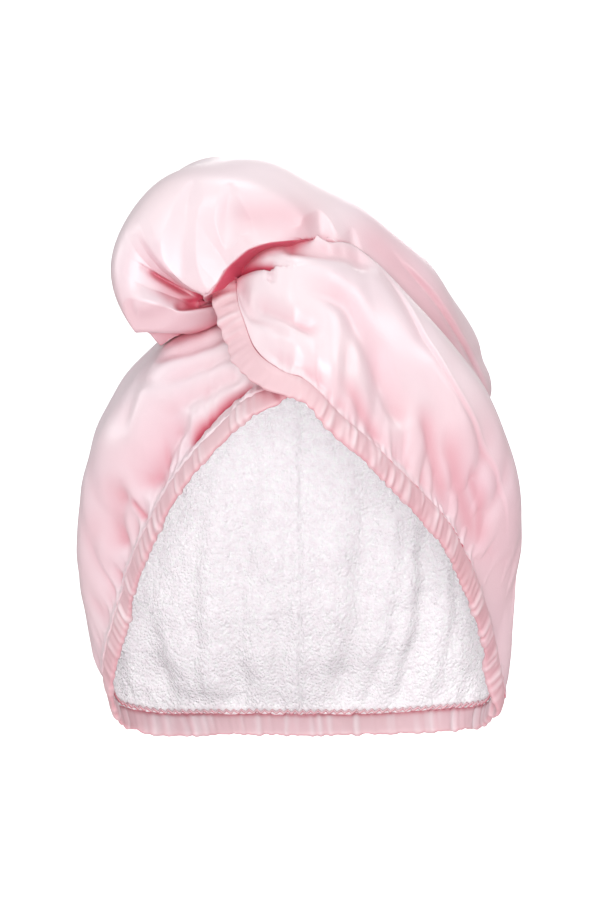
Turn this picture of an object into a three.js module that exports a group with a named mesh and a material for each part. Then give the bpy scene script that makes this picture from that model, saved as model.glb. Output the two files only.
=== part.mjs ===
// A hair turban towel, shaped as it is worn: a satin cap with a terry lining, a gathered elastic hem round
// the opening, a front panel that crosses over the forehead, and a twisted tail laid back over the crown.
// Millimetres, +Z up, the face towards -Y. The origin is the inside of the crown, where the head carries it.
import * as THREE from "three";

// Outer size of the cap, measured from the upright line through the crown and from its widest level
const capWidth = 227;
const frontReach = 115;
const backReach = 110;
const crownRise = 139;
const napeReach = 128;
const crownFullness = 2.15;
const napeFullness = 2.5;

// The left panel bears the crossing panel, so the cap is narrower there by this much
const wrapSide = 4;

// Depth from the crown to the stitch line of the hem at the nape
const napeDepth = 215;

// Cloth and the clearances between layers
const satinWall = 1.5;
const terryWall = 2.2;
const tailWall = 1.5;
const layerGap = 0.7;

// Casing with the elastic, and the gathers that it makes
const hemWidth = 13;
const hemThickness = 4.6;
const hemGather = 0.9;
const panelGather = 1.3;

// How far the cloth stands off the head below the twist, and the crossing panel off the cap
const twistRise = 12;
const wrapLift = 40;

// The tail over the crown: greatest width and height of its section
const tailWidth = 200;
const tailHeight = 128;
const tailEnd = 0.93;
const seamSetBack = 0.6;

// Button at the nape
const buttonDiameter = 22;
const buttonThickness = 4;

// Deepest folds of the panels and of the tail
const foldDepth = 9;
const tailFoldDepth = 7;

const halfWidth = capWidth / 2;
const crownDrop = crownRise - satinWall - layerGap - terryWall;
const degree = Math.PI / 180;

// The stitch line between the panels and the casing. Turn is in degrees round the head from the forehead,
// positive to the wearer's left; reach is a share of half the cap's width, drop of the nape's depth.
const rimRows = [
  { turn: -180, reach: 0.711, drop: 1.0 },
  { turn: -137, reach: 0.844, drop: 0.994 },
  { turn: -118, reach: 0.945, drop: 0.964 },
  { turn: -105, reach: 0.921, drop: 0.884 },
  { turn: -81, reach: 0.789, drop: 0.648 },
  { turn: -61, reach: 0.775, drop: 0.519 },
  { turn: -43, reach: 0.807, drop: 0.404 },
  { turn: -22, reach: 0.864, drop: 0.279 },
  { turn: -10, reach: 0.933, drop: 0.212 },
  { turn: -2, reach: 0.942, drop: 0.199 },
  { turn: 12, reach: 0.889, drop: 0.292 },
  { turn: 29, reach: 0.812, drop: 0.39 },
  { turn: 46, reach: 0.771, drop: 0.465 },
  { turn: 65, reach: 0.769, drop: 0.559 },
  { turn: 82, reach: 0.801, drop: 0.662 },
  { turn: 99, reach: 0.884, drop: 0.802 },
  { turn: 108, reach: 0.951, drop: 0.927 },
  { turn: 118, reach: 0.965, drop: 0.964 },
  { turn: 158, reach: 0.747, drop: 0.997 },
  { turn: 180, reach: 0.711, drop: 1.0 },
];

// The crossing panel from the twist to behind the ear. Low and high are its edges, as shares of the way from
// the crown to the stitch line; the lifts are shares of wrapLift at the low edge, the middle and the high edge.
const wrapRows = [
  { turn: -19, low: 0.69, high: 0.64, lowLift: 0.56, midLift: 0.6, highLift: 0.64 },
  { turn: -16, low: 0.76, high: 0.6, lowLift: 0.38, midLift: 0.56, highLift: 0.74 },
  { turn: -12, low: 0.87, high: 0.56, lowLift: 0.25, midLift: 0.53, highLift: 0.86 },
  { turn: -2, low: 1.0, high: 0.51, lowLift: 0.19, midLift: 0.55, highLift: 0.95 },
  { turn: 20, low: 1.0, high: 0.39, lowLift: 0.1, midLift: 0.45, highLift: 0.85 },
  { turn: 42, low: 1.0, high: 0.4, lowLift: 0.09, midLift: 0.3, highLift: 0.5 },
  { turn: 60, low: 1.0, high: 0.46, lowLift: 0.09, midLift: 0.17, highLift: 0.18 },
  { turn: 75, low: 1.0, high: 0.52, lowLift: 0.09, midLift: 0.1, highLift: 0.1 },
  { turn: 87, low: 1.0, high: 0.6, lowLift: 0.09, midLift: 0.09, highLift: 0.09 },
  { turn: 96, low: 1.0, high: 0.7, lowLift: 0.09, midLift: 0.09, highLift: 0.09 },
  { turn: 104, low: 1.0, high: 0.84, lowLift: 0.09, midLift: 0.09, highLift: 0.09 },
  { turn: 109, low: 1.0, high: 0.96, lowLift: 0.09, midLift: 0.09, highLift: 0.09 },
];

// Sections of the tail from the mouth of the twist to the nape. Arc is the angle over the crown, back positive;
// stand is the distance of the section's middle from the cap's centre as a share of crownRise; aside is a share
// of half the cap's width; facing turns the section's plane from upright to level; width and height are shares
// of the tail's own; lean tips the section, right side down when negative.
const tailRows = [
  { arc: -35, stand: 1.195, aside: -0.38, facing: -8, width: 0.22, height: 0.19, lean: 30 },
  { arc: -34, stand: 1.2, aside: -0.37, facing: -6, width: 0.33, height: 0.38, lean: 10 },
  { arc: -31, stand: 1.19, aside: -0.33, facing: -4, width: 0.47, height: 0.66, lean: -5 },
  { arc: -24.5, stand: 1.145, aside: -0.27, facing: 0, width: 0.59, height: 0.84, lean: -18 },
  { arc: -14, stand: 1.05, aside: -0.11, facing: 0, width: 0.76, height: 0.87, lean: -28 },
  { arc: 0, stand: 0.975, aside: 0.03, facing: 4, width: 0.92, height: 0.84, lean: -33 },
  { arc: 22, stand: 0.93, aside: 0.09, facing: 22, width: 0.98, height: 0.81, lean: -31 },
  { arc: 46, stand: 0.87, aside: 0.1, facing: 48, width: 0.87, height: 0.64, lean: -18 },
  { arc: 74, stand: 0.83, aside: 0.05, facing: 76, width: 0.56, height: 0.42, lean: -5 },
  { arc: 98, stand: 0.84, aside: 0.01, facing: 98, width: 0.3, height: 0.24, lean: 0 },
  { arc: 112, stand: 0.865, aside: 0.0, facing: 112, width: 0.15, height: 0.11, lean: 0 },
];

// How low the tail reaches over the left panel, by turn and by tip from the crown in degrees.
const tailEdge = [
  { turn: -180, tip: 170 },
  { turn: -100, tip: 100 },
  { turn: -62, tip: 56 },
  { turn: -40, tip: 42.5 },
  { turn: -22, tip: 38 },
  { turn: -10, tip: 37 },
];

// Folds of the left panel and of the crossing panel, seen from the front: from and to are across and up, as
// shares of half the cap's width and of the nape's depth. Wide and deep are shares of hemWidth and foldDepth.
const panelFolds = [
  { fromX: -0.52, fromUp: -0.26, toX: -0.72, toUp: -0.47, wide: 1.0, deep: 0.7 },
  { fromX: -0.83, fromUp: -0.4, toX: -0.82, toUp: -0.62, wide: 0.7, deep: 0.55 },
  { fromX: -0.34, fromUp: -0.24, toX: -0.49, toUp: -0.36, wide: 0.35, deep: 0.8 },
  { fromX: 0.02, fromUp: 0.06, toX: 0.4, toUp: -0.12, wide: 0.8, deep: 0.6 },
  { fromX: 0.4, fromUp: -0.12, toX: 0.52, toUp: -0.3, wide: 0.9, deep: 0.7 },
  { fromX: -0.2, fromUp: 0.0, toX: 0.16, toUp: -0.08, wide: 0.5, deep: 0.5 },
];

// Soft folds of the lining at the nape, by their turn round the head and half width, both in degrees.
const liningFolds = [
  { turn: -158, wide: 7, deep: 0.7 },
  { turn: -176, wide: 8, deep: 0.6 },
  { turn: 166, wide: 8, deep: 0.8 },
  { turn: 146, wide: 7, deep: 0.7 },
  { turn: -132, wide: 7, deep: 0.6 },
];

// Grooves that the twist leaves along the tail. Around is the place on the section in degrees from its right
// end, sweep is how far it turns by the nape; from and to are shares of the tail's length.
const tailFolds = [
  { around: 30, sweep: 25, from: 0.32, to: 0.95, wide: 12, deep: 0.8 },
  { around: 75, sweep: 60, from: 0.45, to: 1.0, wide: 15, deep: 0.7 },
  { around: 160, sweep: -40, from: 0.3, to: 0.9, wide: 16, deep: 0.8 },
  { around: 200, sweep: -10, from: 0.03, to: 0.3, wide: 16, deep: 1.0 },
];

// How finely the cloth is faceted
const capColumns = 64;
const capRings = 12;
const wrapColumns = 34;
const wrapRings = 8;
const tailRings = 27;
const tailSides = 26;
const hemSides = 8;

function smooth(share) {
  const s = THREE.MathUtils.clamp(share, 0, 1);
  return s * s * (3 - 2 * s);
}

// The value at one place of a smooth curve through a column of a table, without overshoot between rows.
function through(rows, along, column, at) {
  const last = rows.length - 1;
  const place = THREE.MathUtils.clamp(at, rows[0][along], rows[last][along]);
  let i = 0;
  while (i < last - 1 && rows[i + 1][along] < place) i++;
  const slope = (k) => {
    const j = THREE.MathUtils.clamp(k, 0, last - 1);
    return (rows[j + 1][column] - rows[j][column]) / (rows[j + 1][along] - rows[j][along]);
  };
  const tangent = (k) => {
    const before = slope(k - 1);
    const after = slope(k);
    return before * after <= 0 ? 0 : (2 * before * after) / (before + after);
  };
  const step = rows[i + 1][along] - rows[i][along];
  const s = (place - rows[i][along]) / step;
  const start = rows[i][column];
  const end = rows[i + 1][column];
  const ease = s * s * (3 - 2 * s);
  return (
    start + (end - start) * ease +
    step * s * (1 - s) * ((1 - s) * tangent(i) - s * tangent(i + 1))
  );
}

// A point on the line from the cap's centre that is turned round the head and tipped from the crown.
function pointAt(turn, tip, radius) {
  return new THREE.Vector3(
    radius * Math.sin(tip) * Math.sin(turn),
    -radius * Math.sin(tip) * Math.cos(turn),
    radius * Math.cos(tip) - crownDrop,
  );
}

function directionOf(point) {
  const up = point.z + crownDrop;
  const radius = Math.hypot(point.x, point.y, up);
  return { turn: Math.atan2(point.x, -point.y), tip: Math.acos(up / radius), radius };
}

// Cap

function rimAt(turn) {
  const reach = through(rimRows, "turn", "reach", turn / degree) * halfWidth;
  const rise = crownDrop - through(rimRows, "turn", "drop", turn / degree) * napeDepth;
  return { tip: Math.atan2(reach, rise), radius: Math.hypot(reach, rise) };
}

function ovalRadius(turn, tip) {
  const ahead = Math.cos(turn) > 0 ? frontReach : backReach;
  const upright = Math.cos(tip) > 0 ? crownRise : napeReach;
  const beside = Math.sin(turn) > 0 ? halfWidth - wrapSide : halfWidth;
  const across = Math.abs(Math.sin(tip) * Math.sin(turn)) / beside;
  const along = Math.abs(Math.sin(tip) * Math.cos(turn)) / ahead;
  const up = Math.abs(Math.cos(tip)) / upright;
  const power = crownFullness + (napeFullness - crownFullness) * smooth(tip / (40 * degree) - 1.75);
  return (across ** power + along ** power + up ** power) ** (-1 / power);
}

// The elastic draws the cloth in to the stitch line over this angle, and the twist lifts it above the forehead.
const curl = 34 * degree;
const twistTurn = -24 * degree;
const twistTip = 38 * degree;

function drawnAt(turn, tip) {
  return smooth((tip - rimAt(turn).tip + curl) / curl) ** 1.5;
}

function liftAt(turn, tip) {
  const aside = (turn - twistTurn) / (30 * degree);
  const above = (tip - twistTip) / (12 * degree);
  return twistRise * Math.exp(-aside * aside - above * above) * (1 - drawnAt(turn, tip));
}

function capRadius(turn, tip) {
  const rim = rimAt(turn);
  const pull = (rim.radius - ovalRadius(turn, rim.tip)) * drawnAt(turn, tip);
  return ovalRadius(turn, tip) + pull + liftAt(turn, tip);
}

// How deep the folds of the panels are at a place seen from the front.
function foldsAt(point) {
  if (point.y > 0) return 0;
  let depth = 0;
  for (const fold of panelFolds) {
    const from = new THREE.Vector2(fold.fromX * halfWidth, fold.fromUp * napeDepth);
    const run = new THREE.Vector2(fold.toX * halfWidth, fold.toUp * napeDepth).sub(from);
    const to = new THREE.Vector2(point.x, point.z).sub(from);
    const along = THREE.MathUtils.clamp(to.dot(run) / run.lengthSq(), 0, 1);
    const away = to.sub(run.clone().multiplyScalar(along)).length() / (fold.wide * hemWidth);
    depth += foldDepth * fold.deep * Math.exp(-away * away) * Math.sin(Math.PI * (0.15 + 0.7 * along));
  }
  return depth;
}

// Gathers at the stitch line: every other column of facets stands out, and they fade up the panel.
function gatherAt(column, share) {
  const fade = smooth((share - 0.55) / 0.45);
  return (column % 2 ? -0.5 : 0.5) * panelGather * fade;
}

function capPoint(column, share, inset) {
  const turn = -Math.PI + (2 * Math.PI * column) / capColumns;
  const tip = share * rimAt(turn).tip;
  const bare = capRadius(turn, tip);
  const folds = foldsAt(pointAt(turn, tip, bare)) * (1 - smooth(share * 4 - 3));
  return pointAt(turn, tip, bare - folds + gatherAt(column, share) - inset);
}

// Crossing panel

function wrapAt(turn) {
  const value = (column) => through(wrapRows, "turn", column, turn / degree);
  const rim = rimAt(turn);
  return {
    low: value("low") * rim.tip,
    high: value("high") * rim.tip,
    lifts: [value("lowLift"), value("midLift"), value("highLift")],
  };
}

// Height of the crossing panel's outer face above the cap, from its low edge (0) to its high edge (1).
function wrapHeight(lifts, share) {
  const [low, middle, high] = lifts;
  const bend = 2 * (low + high - 2 * middle);
  return wrapLift * (low + (high - low) * share + bend * share * (share - 1));
}

const wrapStart = wrapRows[0].turn * degree;
const wrapEnd = wrapRows[wrapRows.length - 1].turn * degree;

function wrapPoint(column, share) {
  const turn = wrapStart + ((wrapEnd - wrapStart) * column) / wrapColumns;
  const wrap = wrapAt(turn);
  const tip = wrap.low + (wrap.high - wrap.low) * share;
  const bare = capRadius(turn, tip) + wrapHeight(wrap.lifts, share);
  const gather = (column % 2 ? -0.5 : 0.5) * panelGather * (1 - smooth(share * 3));
  const folds = foldsAt(pointAt(turn, tip, bare)) * smooth(share * 5) * smooth(5 - share * 5);
  const least = capRadius(turn, tip) + satinWall + layerGap + panelGather;
  return pointAt(turn, tip, Math.max(bare - folds + gather, least));
}

// Solids from grids of points

function addQuad(triangles, a, b, c, d) {
  triangles.push(a, b, c, a, c, d);
}

function geometryOf(points, triangles) {
  const positions = new Float32Array(points.length * 3);
  points.forEach((point, i) => point.toArray(positions, i * 3));
  const geometry = new THREE.BufferGeometry();
  geometry.setAttribute("position", new THREE.BufferAttribute(positions, 3));
  geometry.setIndex(triangles);
  geometry.computeVertexNormals();
  return geometry;
}

// A cup of cloth: rings of points from the crown (ring 0 is one point) down to the rim, outer and inner face.
function cupWall(rings, columns, outer, inner) {
  const points = [outer(0, 0), inner(0, 0)];
  const faces = [outer, inner];
  for (const face of faces)
    for (let i = 1; i <= rings; i++)
      for (let j = 0; j < columns; j++) points.push(face(j, i / rings));
  const at = (face, i, j) => 2 + face * rings * columns + (i - 1) * columns + (j % columns);
  const triangles = [];
  for (let j = 0; j < columns; j++) {
    triangles.push(0, at(0, 1, j), at(0, 1, j + 1));
    triangles.push(1, at(1, 1, j + 1), at(1, 1, j));
    for (let i = 1; i < rings; i++) {
      addQuad(triangles, at(0, i, j), at(0, i + 1, j), at(0, i + 1, j + 1), at(0, i, j + 1));
      addQuad(triangles, at(1, i, j), at(1, i, j + 1), at(1, i + 1, j + 1), at(1, i + 1, j));
    }
    addQuad(triangles, at(0, rings, j), at(1, rings, j), at(1, rings, j + 1), at(0, rings, j + 1));
  }
  return geometryOf(points, triangles);
}

// Outward normals of a grid of points, by its neighbours; a closed grid joins its last column to its first.
function gridNormals(grid, closed) {
  const columns = grid[0].length;
  const rows = grid.length;
  return grid.map((row, i) =>
    row.map((_, j) => {
      const before = closed ? (j + columns - 1) % columns : Math.max(j - 1, 0);
      const after = closed ? (j + 1) % columns : Math.min(j + 1, columns - 1);
      const along = grid[Math.min(i + 1, rows - 1)][j].clone().sub(grid[Math.max(i - 1, 0)][j]);
      const across = row[after].clone().sub(row[before]);
      return across.cross(along).normalize();
    }),
  );
}

// A closed shell between two grids of points, with its four edges joined.
function shellBetween(outer, inner) {
  const rows = outer.length;
  const columns = outer[0].length;
  const points = [...outer.flat(), ...inner.flat()];
  const at = (face, i, j) => face * rows * columns + i * columns + j;
  const triangles = [];
  for (let i = 0; i < rows - 1; i++)
    for (let j = 0; j < columns - 1; j++) {
      addQuad(triangles, at(0, i, j), at(0, i, j + 1), at(0, i + 1, j + 1), at(0, i + 1, j));
      addQuad(triangles, at(1, i, j), at(1, i + 1, j), at(1, i + 1, j + 1), at(1, i, j + 1));
    }
  for (let j = 0; j < columns - 1; j++) {
    addQuad(triangles, at(0, 0, j), at(1, 0, j), at(1, 0, j + 1), at(0, 0, j + 1));
    addQuad(triangles, at(0, rows - 1, j + 1), at(1, rows - 1, j + 1), at(1, rows - 1, j), at(0, rows - 1, j));
  }
  for (let i = 0; i < rows - 1; i++) {
    addQuad(triangles, at(0, i + 1, 0), at(1, i + 1, 0), at(1, i, 0), at(0, i, 0));
    addQuad(triangles, at(0, i, columns - 1), at(1, i, columns - 1), at(1, i + 1, columns - 1), at(0, i + 1, columns - 1));
  }
  return geometryOf(points, triangles);
}

function insideOf(grid, wall, closed) {
  const normals = gridNormals(grid, closed);
  return grid.map((row, i) => row.map((p, j) => p.clone().addScaledVector(normals[i][j], -wall)));
}

// A patch of cloth with four edges: the outer face is the grid, the inner face lies one wall inside it.
function patchWall(grid, wall) {
  return shellBetween(grid, insideOf(grid, wall, false));
}

// Some columns of rings of points, the first and the last of them set back towards the next one.
function cutBetween(rings, from, to, setBack) {
  return rings.map((ring) => {
    const row = [];
    for (let j = from; j <= to; j++) row.push(ring[j % ring.length].clone());
    const towards = (a, b) => a.addScaledVector(b.clone().sub(a).normalize(), setBack);
    towards(row[0], row[1]);
    towards(row[row.length - 1], row[row.length - 2]);
    return row;
  });
}

// One panel of a bag, from one seam to the other. Its inner face ends further from the seams than its outer face.
function bagPanel(rings, wall, from, to, setBack) {
  const inner = insideOf(rings, wall, true);
  return shellBetween(cutBetween(rings, from, to, setBack), cutBetween(inner, from, to, 3 * setBack));
}

function middleOf(ring) {
  const middle = new THREE.Vector3();
  ring.forEach((point) => middle.add(point));
  return middle.divideScalar(ring.length);
}

// A closed bar through rings of points, filled at both ends.
function barThrough(rings) {
  const sides = rings[0].length;
  const points = [...rings.flat(), middleOf(rings[0]), middleOf(rings[rings.length - 1])];
  const at = (i, j) => i * sides + (j % sides);
  const start = rings.length * sides;
  const triangles = [];
  for (let j = 0; j < sides; j++) {
    for (let i = 0; i < rings.length - 1; i++)
      addQuad(triangles, at(i, j), at(i, j + 1), at(i + 1, j + 1), at(i + 1, j));
    triangles.push(start, at(0, j + 1), at(0, j));
    triangles.push(start + 1, at(rings.length - 1, j), at(rings.length - 1, j + 1));
  }
  return geometryOf(points, triangles);
}

// Tail

function tailSection(share) {
  const place = share * (tailRows.length - 1);
  const numbered = tailRows.map((row, i) => ({ ...row, i }));
  const value = (column) => through(numbered, "i", column, place);
  const arc = value("arc") * degree;
  const facing = value("facing") * degree;
  const out = value("stand") * crownRise;
  return {
    middle: new THREE.Vector3(value("aside") * halfWidth, out * Math.sin(arc), out * Math.cos(arc) - crownDrop),
    outward: new THREE.Vector3(0, Math.sin(facing), Math.cos(facing)),
    halfAcross: (value("width") * tailWidth) / 2,
    halfUp: (value("height") * tailHeight) / 2,
    lean: value("lean") * degree,
  };
}

function tailGroove(share, around) {
  let depth = 0;
  for (const fold of tailFolds) {
    const along = (share - fold.from) / (fold.to - fold.from);
    if (along <= 0 || along >= 1) continue;
    const turned = around / degree - fold.around - fold.sweep * along;
    const away = (THREE.MathUtils.euclideanModulo(turned + 180, 360) - 180) / fold.wide;
    depth += tailFoldDepth * fold.deep * Math.exp(-away * away) * Math.sin(Math.PI * along);
  }
  return depth;
}

// The tail rests on the cap, clear of its highest cloth within half a facet.
const tailGap = 1.9;
const tailCover = 5;
const halfFacet = 4 * degree;
const leastTailBody = 2 * tailWall + 1.6;

function supportRadius(turn, tip) {
  let highest = 0;
  for (const aside of [-1, 0, 1])
    for (const above of [-1, 0, 1]) {
      const nearTurn = turn + (aside * halfFacet) / Math.max(Math.sin(tip), 0.3);
      highest = Math.max(highest, capRadius(nearTurn, Math.abs(tip + above * halfFacet)));
    }
  return highest;
}

// At the front the tail is tucked under the crossing panel's upper edge; past the temple it stays behind it.
const tucked = 5 * degree;
const untucked = -5 * degree;

function tailPoint(point, around) {
  const seen = directionOf(point);
  const wrap = wrapAt(seen.turn);
  const outside = Math.max(wrapStart - seen.turn, seen.turn - wrapEnd, 0);
  const tuck = untucked + (tucked - untucked) * smooth((60 * degree - seen.turn) / (30 * degree));
  const overPanel = through(tailEdge, "turn", "tip", seen.turn / degree) * degree;
  const underWrap = wrap.high + tuck + 3 * outside;
  const lowest = seen.turn < 0 ? Math.min(overPanel, underWrap) : underWrap;
  const tip = Math.min(seen.tip, lowest);
  const share = THREE.MathUtils.clamp((wrap.low - tip) / (wrap.low - wrap.high), 0, 1);
  const beyond = Math.max(wrap.high - tip, 0) + outside;
  const under = capRadius(seen.turn, tip) + wrapHeight(wrap.lifts, share) - satinWall - tailCover;
  const radius = Math.min(seen.radius, under + crownRise * beyond);
  const body = leastTailBody * Math.min(1, 4 * Math.max(Math.sin(around), 0));
  return pointAt(seen.turn, tip, Math.max(radius, supportRadius(seen.turn, tip) + tailGap + body));
}

function tailRing(share) {
  const section = tailSection(share);
  const ring = [];
  for (let j = 0; j < tailSides; j++) {
    const around = (-2 * Math.PI * j) / tailSides;
    const groove = tailGroove(share, around) * Math.min(1, section.halfUp / (tailHeight / 4));
    const across = (section.halfAcross - groove) * Math.cos(around);
    const up = (section.halfUp - groove) * Math.sin(around);
    const point = section.middle.clone();
    point.x += across * Math.cos(section.lean) - up * Math.sin(section.lean);
    point.addScaledVector(section.outward, across * Math.sin(section.lean) + up * Math.cos(section.lean));
    ring.push(tailPoint(point, around));
  }
  return ring;
}

function tailRingList(from, to, steps) {
  return Array.from({ length: steps + 1 }, (_, i) => tailRing(from + ((to - from) * i) / steps));
}

// Hem

// The stitch line that the casing follows: from under the crossing, round the wearer's right side and the nape,
// up the left side and along the crossing panel's edge into the twist.
const hemStart = -5;
const hemTurns = (() => {
  const turns = [];
  const step = 360 / capColumns;
  for (let turn = hemStart; turn > hemStart - 360; turn -= step) turns.push(turn);
  for (let turn = hemStart; turn > wrapRows[0].turn; turn -= step / 2) turns.push(turn - 360);
  return turns;
})();

function hemBase(turn) {
  const wrapped = turn < hemStart - 180;
  const seen = wrapped ? turn + 360 : turn;
  const rim = rimAt(seen * degree);
  if (!wrapped || seen > wrapEnd / degree) {
    return { turn: seen * degree, tip: rim.tip, radius: rim.radius - satinWall - layerGap / 2 };
  }
  const wrap = wrapAt(seen * degree);
  const radius = capRadius(seen * degree, wrap.low) + wrapHeight(wrap.lifts, 0) - satinWall / 2;
  return { turn: seen * degree, tip: wrap.low, radius };
}

function surfaceNormal(turn, tip) {
  const step = 2 * degree;
  const here = pointAt(turn, tip, capRadius(turn, tip));
  const beside = pointAt(turn + step, tip, capRadius(turn + step, tip));
  const above = pointAt(turn, tip - step, capRadius(turn, tip - step));
  return beside.sub(here).cross(above.sub(here)).normalize();
}

function hemRings() {
  const bases = hemTurns.map(hemBase);
  const line = bases.map((base) => pointAt(base.turn, base.tip, base.radius));
  return line.map((point, i) => {
    const along = line[Math.min(i + 1, line.length - 1)].clone().sub(line[Math.max(i - 1, 0)]).normalize();
    const normal = surfaceNormal(bases[i].turn, bases[i].tip);
    const away = normal.cross(along).normalize();
    const out = along.clone().cross(away);
    const ruffle = (i % 2 ? 0.5 : -0.5) * hemGather;
    const half = hemWidth / 2;
    const middle = point.clone().addScaledVector(away, half + layerGap);
    return Array.from({ length: hemSides }, (_, j) => {
      const around = (2 * Math.PI * j) / hemSides;
      const across = Math.cos(around) > 0 ? half + ruffle : half;
      return middle
        .clone()
        .addScaledVector(away, across * Math.cos(around))
        .addScaledVector(out, (hemThickness / 2 + ruffle / 2) * Math.sin(around));
    });
  });
}

// Lining

// The lining lies against the cap, hangs in soft folds at the nape and bridges the hollow under the twist.
function liningPoint(column, share, inset) {
  const onCap = directionOf(capPoint(column, share, 0));
  const tip = share * rimAt(onCap.turn).tip;
  const hung = smooth((share - 0.45) / 0.25) * smooth((1 - share) / 0.12);
  let slack = liftAt(onCap.turn, tip);
  for (const fold of liningFolds) {
    const away = (onCap.turn / degree - fold.turn) / fold.wide;
    slack += foldDepth * fold.deep * hung * Math.exp(-away * away);
  }
  return pointAt(onCap.turn, tip, onCap.radius - slack - inset);
}

// The object, piece by piece

const satin = new THREE.MeshStandardMaterial({ color: 0xf3dfe3, roughness: 0.42, metalness: 0 });
const terry = new THREE.MeshStandardMaterial({ color: 0xf6f1f4, roughness: 0.95, metalness: 0 });
const casing = new THREE.MeshStandardMaterial({ color: 0xf2dadd, roughness: 0.5, metalness: 0 });
const buttonShell = new THREE.MeshStandardMaterial({ color: 0xefd3d9, roughness: 0.35, metalness: 0 });

function piece(name, geometry, material) {
  const mesh = new THREE.Mesh(geometry, material);
  mesh.name = name;
  return mesh;
}

const satinCap = piece(
  "satin_cap",
  cupWall(
    capRings,
    capColumns,
    (column, share) => capPoint(column, share, 0),
    (column, share) => capPoint(column, share, satinWall),
  ),
  satin,
);

const terryLining = piece(
  "terry_lining",
  cupWall(
    capRings,
    capColumns,
    (column, share) => liningPoint(column, share, satinWall + layerGap),
    (column, share) => liningPoint(column, share, satinWall + layerGap + terryWall),
  ),
  terry,
);

const wrapGrid = Array.from({ length: wrapRings + 1 }, (_, i) =>
  Array.from({ length: wrapColumns + 1 }, (_, j) => wrapPoint(j, i / wrapRings)),
);
const wrapPanel = piece("wrap_panel", patchWall(wrapGrid, satinWall), satin);

// The tail is a bag of an upper and a lower panel, sewn along both sides; its end is folded and sewn shut.
// The lower panel comes round the right side, so that its seam lies on top, where the bag is open inside.
const tailBody = tailRingList(0, tailEnd, tailRings);
const rightSeam = tailSides / 2;
const leftSeam = tailSides - 3;
const tailUpper = piece("tail_upper", bagPanel(tailBody, tailWall, rightSeam, leftSeam, seamSetBack), satin);
const tailLower = piece("tail_lower", bagPanel(tailBody, tailWall, leftSeam, rightSeam + tailSides, seamSetBack), satin);
const tailTip = piece("tail_end", barThrough(tailRingList(tailEnd + 0.003, 1, 3)), satin);

const hem = piece("elastic_hem", barThrough(hemRings()), casing);

// Button, on the tail's end over the nape
const buttonEdge = buttonThickness / 4;
const buttonProfile = [
  new THREE.Vector2(0, 0),
  new THREE.Vector2(buttonDiameter / 2 - buttonEdge, 0),
  new THREE.Vector2(buttonDiameter / 2, buttonEdge),
  new THREE.Vector2(buttonDiameter / 2, buttonThickness - buttonEdge),
  new THREE.Vector2(buttonDiameter / 2 - buttonEdge, buttonThickness),
  new THREE.Vector2(0, buttonThickness),
];
const button = piece("closure_button", new THREE.LatheGeometry(buttonProfile, 20), buttonShell);
const buttonShare = 0.95;
const buttonSection = tailSection(buttonShare);
const buttonSeat = [0.92, 0.94, 0.96, 0.98, 1]
  .flatMap(tailRing)
  .reduce((far, point) => Math.max(far, point.dot(buttonSection.outward)), -Infinity);
const buttonLift = buttonSeat - buttonSection.middle.dot(buttonSection.outward) + layerGap;
button.position.copy(buttonSection.middle).addScaledVector(buttonSection.outward, buttonLift);
button.quaternion.setFromUnitVectors(new THREE.Vector3(0, 1, 0), buttonSection.outward);

const turban = new THREE.Group();
turban.add(satinCap, terryLining, wrapPanel, tailUpper, tailLower, tailTip, hem, button);

export default turban;
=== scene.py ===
import math

import bpy
import numpy as np
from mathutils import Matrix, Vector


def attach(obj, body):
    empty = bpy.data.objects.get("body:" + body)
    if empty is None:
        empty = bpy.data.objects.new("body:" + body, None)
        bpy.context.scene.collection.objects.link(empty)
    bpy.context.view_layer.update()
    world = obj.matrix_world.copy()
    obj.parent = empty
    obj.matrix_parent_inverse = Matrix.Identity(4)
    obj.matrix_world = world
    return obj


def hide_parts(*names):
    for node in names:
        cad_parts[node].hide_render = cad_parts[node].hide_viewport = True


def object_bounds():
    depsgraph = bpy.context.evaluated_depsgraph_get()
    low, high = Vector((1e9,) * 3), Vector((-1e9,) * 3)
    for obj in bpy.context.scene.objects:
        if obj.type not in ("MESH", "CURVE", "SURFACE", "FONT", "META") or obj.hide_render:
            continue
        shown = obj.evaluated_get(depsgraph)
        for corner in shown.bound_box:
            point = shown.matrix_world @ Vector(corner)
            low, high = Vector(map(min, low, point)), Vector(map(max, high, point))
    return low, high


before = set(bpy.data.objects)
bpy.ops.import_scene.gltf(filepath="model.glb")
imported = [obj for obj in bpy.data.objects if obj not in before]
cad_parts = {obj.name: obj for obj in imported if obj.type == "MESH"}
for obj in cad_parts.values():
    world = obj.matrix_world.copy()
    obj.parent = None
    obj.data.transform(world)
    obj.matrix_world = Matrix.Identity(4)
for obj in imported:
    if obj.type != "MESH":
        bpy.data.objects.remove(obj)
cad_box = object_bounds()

# Camera. It stands level with the middle of the towel, straight in front of the face opening, as for a
# catalogue picture. Lengths of the cloth below are in millimetres, and each mesh is made in metres.
camera_distance = 1600
camera_height = -75
camera_data = bpy.data.cameras.new("front_camera")
camera_data.lens = 128
camera_data.sensor_width = 36
camera = bpy.data.objects.new("front_camera", camera_data)
camera.location = (0, -camera_distance / 1000, camera_height / 1000)
camera.rotation_euler = (math.pi / 2, 0, 0)
bpy.context.collection.objects.link(camera)
bpy.context.scene.camera = camera

# Satin cap. The outer cloth of the towel is one dome of pink satin, cut in two panels and sewn up the back.
# It carries everything else: the lining hangs in it, the casing closes its edge, the tail lies on its crown.
cap_width = 227
front_reach = 115
back_reach = 110
crown_rise = 139
nape_reach = 128
nape_depth = 215
wrap_side = 4
crown_walls = 4.4
crown_drop = crown_rise - crown_walls
twist_rise = 12
half_width = cap_width / 2
curl = math.radians(34)
twist_turn = math.radians(-24)
twist_tip = math.radians(38)

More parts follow.
